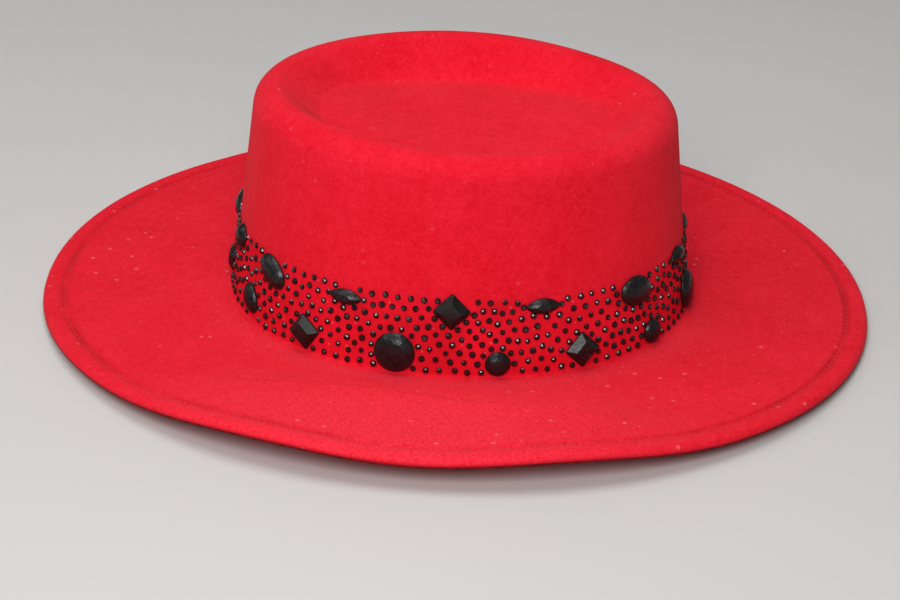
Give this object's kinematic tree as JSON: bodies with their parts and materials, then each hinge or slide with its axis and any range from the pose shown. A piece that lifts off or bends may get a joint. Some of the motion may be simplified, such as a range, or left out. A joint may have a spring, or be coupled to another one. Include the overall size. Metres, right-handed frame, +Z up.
{
  "type": "wide-brimmed felt hat",
  "caption": "Wide-brimmed red felt hat with a flat oval telescope crown, a stitched turned-under brim edge and a band of black studs and faceted stones.",
  "frame": {"origin": "under the middle of the hat, on the plane that the brim rests on", "axes": "+Z up, -Y towards the front of the hat, +X towards the wearer's left side, which faces the viewer in the usual side view"},
  "size_m": [0.349, 0.379, 0.1055],
  "materials": {
    "red_felt": "matte brushed wool felt, bright red",
    "red_band": "thin smooth saturated red backing",
    "red_thread": "red sewing thread",
    "spring_steel": "drawn steel wire",
    "black_leather": "smooth black leather",
    "reed_plastic": "black plastic cord",
    "black_ribbon": "black grosgrain ribbon",
    "jet_stone": "gloss jet black, faceted"
  },
  "bodies": {
    "root": {"brim_wire": "spring_steel", "edge_bobbin_thread": "red_thread", "edge_needle_thread": "red_thread", "felt_body": "red_felt", "stone_bottom_01_small_oval": "jet_stone", "stone_bottom_02_small_oval": "jet_stone", "stone_bottom_03_square": "jet_stone", "stone_bottom_04_large_round": "jet_stone", "stone_bottom_05_small_round": "jet_stone", "stone_bottom_06_square": "jet_stone", "stone_bottom_07_small_round": "jet_stone", "stone_bottom_08_large_round": "jet_stone", "stone_bottom_09_square": "jet_stone", "stone_bottom_10_small_round": "jet_stone", "stone_bottom_11_small_oval": "jet_stone", "stone_bottom_12_square": "jet_stone", "stone_bottom_13_large_round": "jet_stone", "stone_bottom_14_small_round": "jet_stone", "stone_bottom_15_square": "jet_stone", "stone_top_01_small_round": "jet_stone", "stone_top_02_tall_oval": "jet_stone", "stone_top_03_marquise": "jet_stone", "stone_top_04_square": "jet_stone", "stone_top_05_marquise": "jet_stone", "stone_top_06_wide_oval": "jet_stone", "stone_top_07_marquise": "jet_stone", "stone_top_08_small_round": "jet_stone", "stone_top_09_square": "jet_stone", "stone_top_10_marquise": "jet_stone", "stone_top_11_tall_oval": "jet_stone", "stone_top_12_marquise": "jet_stone", "stone_top_13_square": "jet_stone", "stone_top_14_marquise": "jet_stone", "stone_top_15_wide_oval": "jet_stone", "stud_band": "red_band", "sweatband": "black_leather", "sweatband_bow": "black_ribbon", "sweatband_reed": "reed_plastic"}
  },
  "joints": []
}
